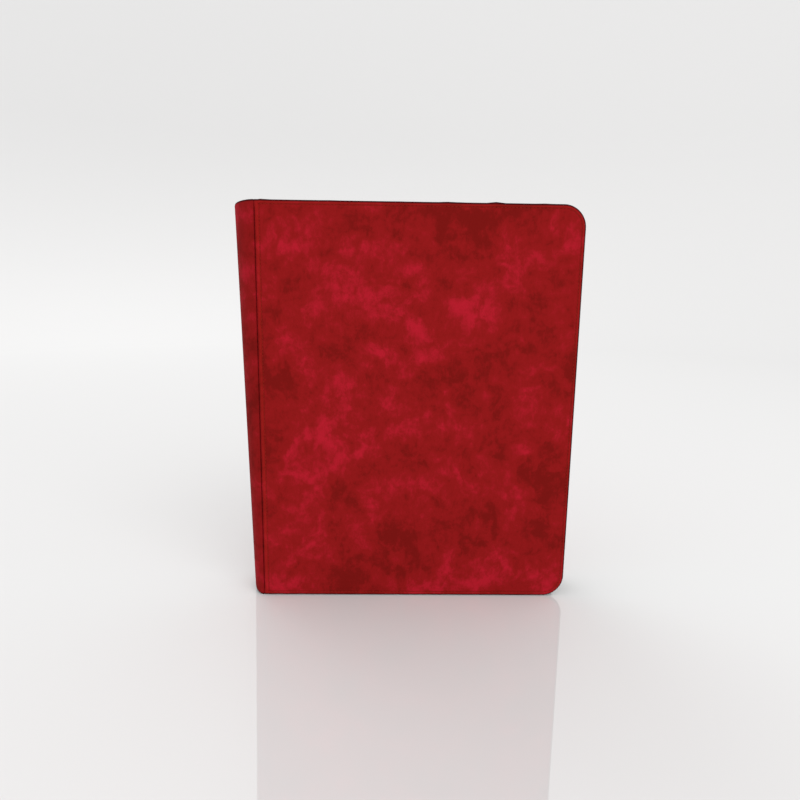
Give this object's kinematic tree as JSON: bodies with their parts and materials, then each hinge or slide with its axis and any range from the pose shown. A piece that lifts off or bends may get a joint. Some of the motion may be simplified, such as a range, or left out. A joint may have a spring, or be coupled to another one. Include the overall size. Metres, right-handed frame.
{
  "type": "trading card binder",
  "caption": "Zip-around card album: two padded suede-look covers and a rounded spine round a sewn block of black leaves with clear side-loading pockets.",
  "frame": {"origin": "middle of the foot of the closed binder, as it stands on its tail", "axes": "+X from the spine to the fore-edge, +Z from the tail up to the head, and the front cover faces -Y"},
  "size_m": [0.286, 0.042, 0.3456],
  "materials": {
    "cover_skin": "mottled red suede-look polyurethane, low gloss",
    "foam": "closed-cell foam",
    "board": "grey board",
    "lining": "black woven lining",
    "seam_thread": "orange-red twisted thread",
    "zip_tape": "black woven tape",
    "zip_coil": "black moulded monofilament",
    "zip_metal": "satin nickel plate",
    "guard_board": "black card-like plastic",
    "binding_thread": "waxed thread",
    "leaf_sheet": "fine matt embossed black polypropylene",
    "pocket_film": "clear film"
  },
  "bodies": {
    "spine": {"spine_skin": "cover_skin", "spine_pad": "foam", "spine_lining": "lining", "zip_end_tab_head": "lining", "zip_end_tab_tail": "lining", "binding_base": "board", "binding_guards": "guard_board", "binding_thread": "binding_thread"},
    "front_cover": {"front_skin": "cover_skin", "front_foam": "foam", "front_board": "board", "front_lining": "lining", "front_stitching": "seam_thread", "front_zip_tape": "zip_tape", "front_zip_coil": "zip_coil", "front_zip_stops": "zip_metal"},
    "back_cover": {"back_skin": "cover_skin", "back_foam": "foam", "back_board": "board", "back_lining": "lining", "back_stitching": "seam_thread", "back_zip_tape": "zip_tape", "back_zip_coil": "zip_coil", "back_zip_stops": "zip_metal"},
    "zip_slider": {"slider_body": "zip_metal", "slider_bail": "zip_metal"},
    "zip_puller": {"puller_tab": "zip_metal"},
    "leaf_01": {"leaf_01": "leaf_sheet"},
    "leaf_02": {"leaf_02": "leaf_sheet"},
    "leaf_03": {"leaf_03": "leaf_sheet"},
    "leaf_04": {"leaf_04": "leaf_sheet"},
    "leaf_05": {"leaf_05": "leaf_sheet"},
    "leaf_06": {"leaf_06": "leaf_sheet"},
    "leaf_07": {"leaf_07": "leaf_sheet"},
    "leaf_08": {"leaf_08": "leaf_sheet"},
    "leaf_09": {"leaf_09": "leaf_sheet"},
    "leaf_10": {"leaf_10": "leaf_sheet"},
    "leaf_11": {"leaf_11": "leaf_sheet"},
    "leaf_12": {"leaf_12": "leaf_sheet"},
    "leaf_13": {"leaf_13": "leaf_sheet"},
    "leaf_14": {"leaf_14": "leaf_sheet"},
    "leaf_15": {"leaf_15": "leaf_sheet"},
    "leaf_16": {"leaf_16": "leaf_sheet"},
    "leaf_17": {"leaf_17": "leaf_sheet"},
    "leaf_18": {"leaf_18": "leaf_sheet"},
    "leaf_19": {"leaf_19": "leaf_sheet"},
    "leaf_20": {"leaf_20": "leaf_sheet"}
  },
  "joints": [
    {"name": "front_cover_hinge", "type": "hinge", "parent": "spine", "child": "front_cover", "pos_m": [-0.128, -0.0193, 0.1725], "axis": [0, 0, -1], "range_deg": [0, 90]},
    {"name": "back_cover_hinge", "type": "hinge", "parent": "spine", "child": "back_cover", "pos_m": [-0.128, 0.0193, 0.1725], "axis": [0, 0, 1], "range_deg": [0, 90]},
    {"name": "zip_slider_travel", "type": "slide", "parent": "back_cover", "child": "zip_slider", "axis": [1, 0, 0], "range_m": [0, 0.21]},
    {"name": "zip_puller_hinge", "type": "hinge", "parent": "zip_slider", "child": "zip_puller", "pos_m": [-0.0985, 0, 0.34365], "axis": [0, -1, 0], "range_deg": [0, 180]},
    {"name": "leaf_01_hinge", "type": "hinge", "parent": "spine", "child": "leaf_01", "pos_m": [-0.123, -0.01378, 0.1725], "axis": [0, 0, -1], "range_deg": [0, 88.66]},
    {"name": "leaf_02_hinge", "type": "hinge", "parent": "spine", "child": "leaf_02", "pos_m": [-0.1222, -0.01232, 0.1725], "axis": [0, 0, -1], "range_deg": [0, 86.86]},
    {"name": "leaf_03_hinge", "type": "hinge", "parent": "spine", "child": "leaf_03", "pos_m": [-0.1214, -0.01087, 0.1725], "axis": [0, 0, -1], "range_deg": [0, 85.06]},
    {"name": "leaf_04_hinge", "type": "hinge", "parent": "spine", "child": "leaf_04", "pos_m": [-0.1206, -0.00942, 0.1725], "axis": [0, 0, -1], "range_deg": [0, 83.26]},
    {"name": "leaf_05_hinge", "type": "hinge", "parent": "spine", "child": "leaf_05", "pos_m": [-0.1198, -0.00797, 0.1725], "axis": [0, 0, -1], "range_deg": [0, 81.46]},
    {"name": "leaf_06_hinge", "type": "hinge", "parent": "spine", "child": "leaf_06", "pos_m": [-0.119, -0.00653, 0.1725], "axis": [0, 0, -1], "range_deg": [0, 79.66]},
    {"name": "leaf_07_hinge", "type": "hinge", "parent": "spine", "child": "leaf_07", "pos_m": [-0.1182, -0.00507, 0.1725], "axis": [0, 0, -1], "range_deg": [0, 77.86]},
    {"name": "leaf_08_hinge", "type": "hinge", "parent": "spine", "child": "leaf_08", "pos_m": [-0.1174, -0.00363, 0.1725], "axis": [0, 0, -1], "range_deg": [0, 76.06]},
    {"name": "leaf_09_hinge", "type": "hinge", "parent": "spine", "child": "leaf_09", "pos_m": [-0.1166, -0.00217, 0.1725], "axis": [0, 0, -1], "range_deg": [0, 74.26]},
    {"name": "leaf_10_hinge", "type": "hinge", "parent": "spine", "child": "leaf_10", "pos_m": [-0.1158, -0.00072, 0.1725], "axis": [0, 0, -1], "range_deg": [0, 72.46]},
    {"name": "leaf_11_hinge", "type": "hinge", "parent": "spine", "child": "leaf_11", "pos_m": [-0.1158, 0.00072, 0.1725], "axis": [0, 0, 1], "range_deg": [0, 72.46]},
    {"name": "leaf_12_hinge", "type": "hinge", "parent": "spine", "child": "leaf_12", "pos_m": [-0.1166, 0.00217, 0.1725], "axis": [0, 0, 1], "range_deg": [0, 74.26]},
    {"name": "leaf_13_hinge", "type": "hinge", "parent": "spine", "child": "leaf_13", "pos_m": [-0.1174, 0.00363, 0.1725], "axis": [0, 0, 1], "range_deg": [0, 76.06]},
    {"name": "leaf_14_hinge", "type": "hinge", "parent": "spine", "child": "leaf_14", "pos_m": [-0.1182, 0.00507, 0.1725], "axis": [0, 0, 1], "range_deg": [0, 77.86]},
    {"name": "leaf_15_hinge", "type": "hinge", "parent": "spine", "child": "leaf_15", "pos_m": [-0.119, 0.00653, 0.1725], "axis": [0, 0, 1], "range_deg": [0, 79.66]},
    {"name": "leaf_16_hinge", "type": "hinge", "parent": "spine", "child": "leaf_16", "pos_m": [-0.1198, 0.00797, 0.1725], "axis": [0, 0, 1], "range_deg": [0, 81.46]},
    {"name": "leaf_17_hinge", "type": "hinge", "parent": "spine", "child": "leaf_17", "pos_m": [-0.1206, 0.00942, 0.1725], "axis": [0, 0, 1], "range_deg": [0, 83.26]},
    {"name": "leaf_18_hinge", "type": "hinge", "parent": "spine", "child": "leaf_18", "pos_m": [-0.1214, 0.01087, 0.1725], "axis": [0, 0, 1], "range_deg": [0, 85.06]},
    {"name": "leaf_19_hinge", "type": "hinge", "parent": "spine", "child": "leaf_19", "pos_m": [-0.1222, 0.01232, 0.1725], "axis": [0, 0, 1], "range_deg": [0, 86.86]},
    {"name": "leaf_20_hinge", "type": "hinge", "parent": "spine", "child": "leaf_20", "pos_m": [-0.123, 0.01378, 0.1725], "axis": [0, 0, 1], "range_deg": [0, 88.66]}
  ],
  "couplings": [
    {"joint": "leaf_01_hinge", "follows": "front_cover_hinge", "ratio": 0.985},
    {"joint": "leaf_02_hinge", "follows": "front_cover_hinge", "ratio": 0.965},
    {"joint": "leaf_03_hinge", "follows": "front_cover_hinge", "ratio": 0.945},
    {"joint": "leaf_04_hinge", "follows": "front_cover_hinge", "ratio": 0.925},
    {"joint": "leaf_05_hinge", "follows": "front_cover_hinge", "ratio": 0.905},
    {"joint": "leaf_06_hinge", "follows": "front_cover_hinge", "ratio": 0.885},
    {"joint": "leaf_07_hinge", "follows": "front_cover_hinge", "ratio": 0.865},
    {"joint": "leaf_08_hinge", "follows": "front_cover_hinge", "ratio": 0.845},
    {"joint": "leaf_09_hinge", "follows": "front_cover_hinge", "ratio": 0.825},
    {"joint": "leaf_10_hinge", "follows": "front_cover_hinge", "ratio": 0.805},
    {"joint": "leaf_11_hinge", "follows": "back_cover_hinge", "ratio": 0.805},
    {"joint": "leaf_12_hinge", "follows": "back_cover_hinge", "ratio": 0.825},
    {"joint": "leaf_13_hinge", "follows": "back_cover_hinge", "ratio": 0.845},
    {"joint": "leaf_14_hinge", "follows": "back_cover_hinge", "ratio": 0.865},
    {"joint": "leaf_15_hinge", "follows": "back_cover_hinge", "ratio": 0.885},
    {"joint": "leaf_16_hinge", "follows": "back_cover_hinge", "ratio": 0.905},
    {"joint": "leaf_17_hinge", "follows": "back_cover_hinge", "ratio": 0.925},
    {"joint": "leaf_18_hinge", "follows": "back_cover_hinge", "ratio": 0.945},
    {"joint": "leaf_19_hinge", "follows": "back_cover_hinge", "ratio": 0.965},
    {"joint": "leaf_20_hinge", "follows": "back_cover_hinge", "ratio": 0.985}
  ]
}
